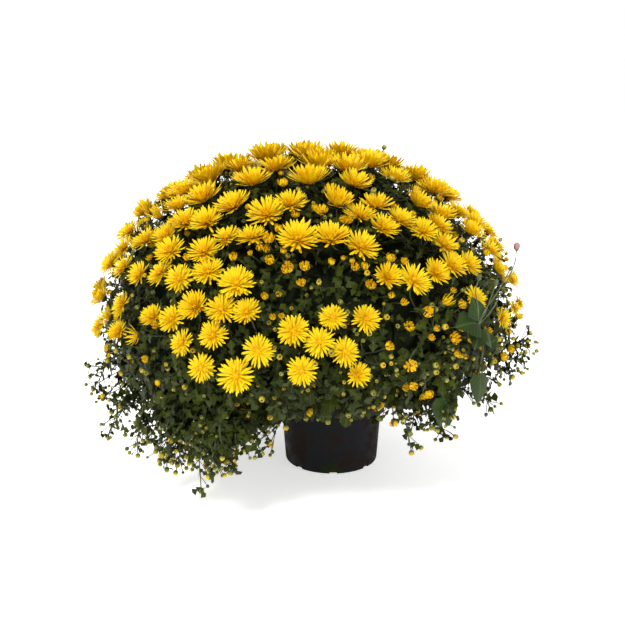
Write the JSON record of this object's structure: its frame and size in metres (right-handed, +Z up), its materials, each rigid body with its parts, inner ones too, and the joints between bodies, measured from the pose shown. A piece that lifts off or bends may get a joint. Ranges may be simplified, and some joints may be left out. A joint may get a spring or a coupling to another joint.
{
  "type": "pot chrysanthemum",
  "caption": "Domed garden chrysanthemum in full yellow flower, with lobed leaves and buds, growing in its plain black tapered nursery pot.",
  "frame": {"origin": "centre of the flat underside of the pot", "axes": "+Z up along the pot's axis; -Y is the side that faces the picture's camera; +X is to its right"},
  "size_m": [0.6892, 0.6952, 0.5242],
  "materials": {
    "petals": "satin",
    "leaves": "satin",
    "weed": "satin",
    "pot_plastic": "satin",
    "soil": "matte"
  },
  "bodies": {
    "root": {"pot": "pot_plastic", "soil": "soil", "weed_shoot": "weed", "leafy_branch_01": "leaves", "leafy_branch_02": "leaves", "leafy_branch_03": "leaves", "leafy_branch_04": "leaves", "leafy_branch_05": "leaves", "leafy_branch_06": "leaves", "leafy_branch_07": "leaves", "leafy_branch_08": "leaves", "leafy_crown": "leaves", "spray_01": "petals", "spray_02": "petals", "spray_03": "petals", "spray_04": "petals", "spray_05": "petals", "spray_06": "petals", "spray_07": "petals", "spray_08": "petals", "spray_09": "petals", "spray_10": "petals", "spray_11": "petals", "spray_12": "petals", "spray_13": "petals", "spray_14": "petals", "spray_15": "petals", "spray_16": "petals", "spray_17": "petals", "spray_18": "petals", "spray_19": "petals", "spray_20": "petals", "spray_21": "petals", "spray_22": "petals", "spray_23": "petals", "spray_24": "petals", "spray_25": "petals", "spray_26": "petals", "spray_27": "petals", "spray_28": "petals", "spray_29": "petals", "spray_30": "petals", "spray_31": "petals", "spray_32": "petals", "spray_33": "petals", "spray_34": "petals", "spray_35": "petals", "spray_36": "petals", "spray_37": "petals", "spray_38": "petals", "spray_39": "petals", "spray_40": "petals", "spray_41": "petals", "spray_42": "petals", "spray_43": "petals", "spray_44": "petals"}
  },
  "joints": []
}
